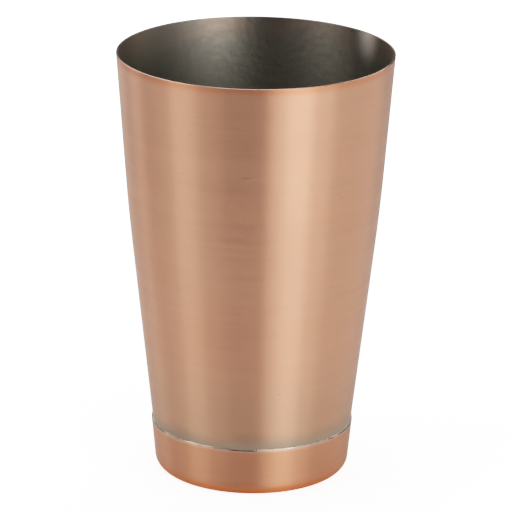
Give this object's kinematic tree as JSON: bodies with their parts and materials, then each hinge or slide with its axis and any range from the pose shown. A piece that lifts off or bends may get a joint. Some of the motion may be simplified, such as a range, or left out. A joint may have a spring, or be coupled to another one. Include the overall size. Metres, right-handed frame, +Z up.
{
  "type": "cocktail shaker tin",
  "caption": "Weighted cocktail shaker tin: an open tapered steel cup, copper-plated outside, with a weight sealed in its foot by a shallow cap.",
  "frame": {"origin": "on the tin's axis, at the surface that it stands on", "axes": "+Z up along the tin's axis, from the foot to the open mouth; the tin is round, so X and Y are free"},
  "size_m": [0.089, 0.089, 0.1395],
  "materials": {
    "copper_plate": "stainless steel sheet, copper-plated and fine-brushed round the outside, plain dark satin inside",
    "cap_copper": "stainless steel sheet, copper-plated and fine-brushed round the outside",
    "solder": "bright silvery solder, uneven, with darker patches",
    "mild_steel": "plain punched steel disc",
    "epoxy": "set adhesive",
    "cushion_pad": "thin foam rubber"
  },
  "bodies": {
    "root": {"tin_body": "copper_plate", "base_cap": "cap_copper", "seam_bead": "solder", "weight_disc": "mild_steel", "weight_bond": "epoxy", "base_pad": "cushion_pad"}
  },
  "joints": []
}
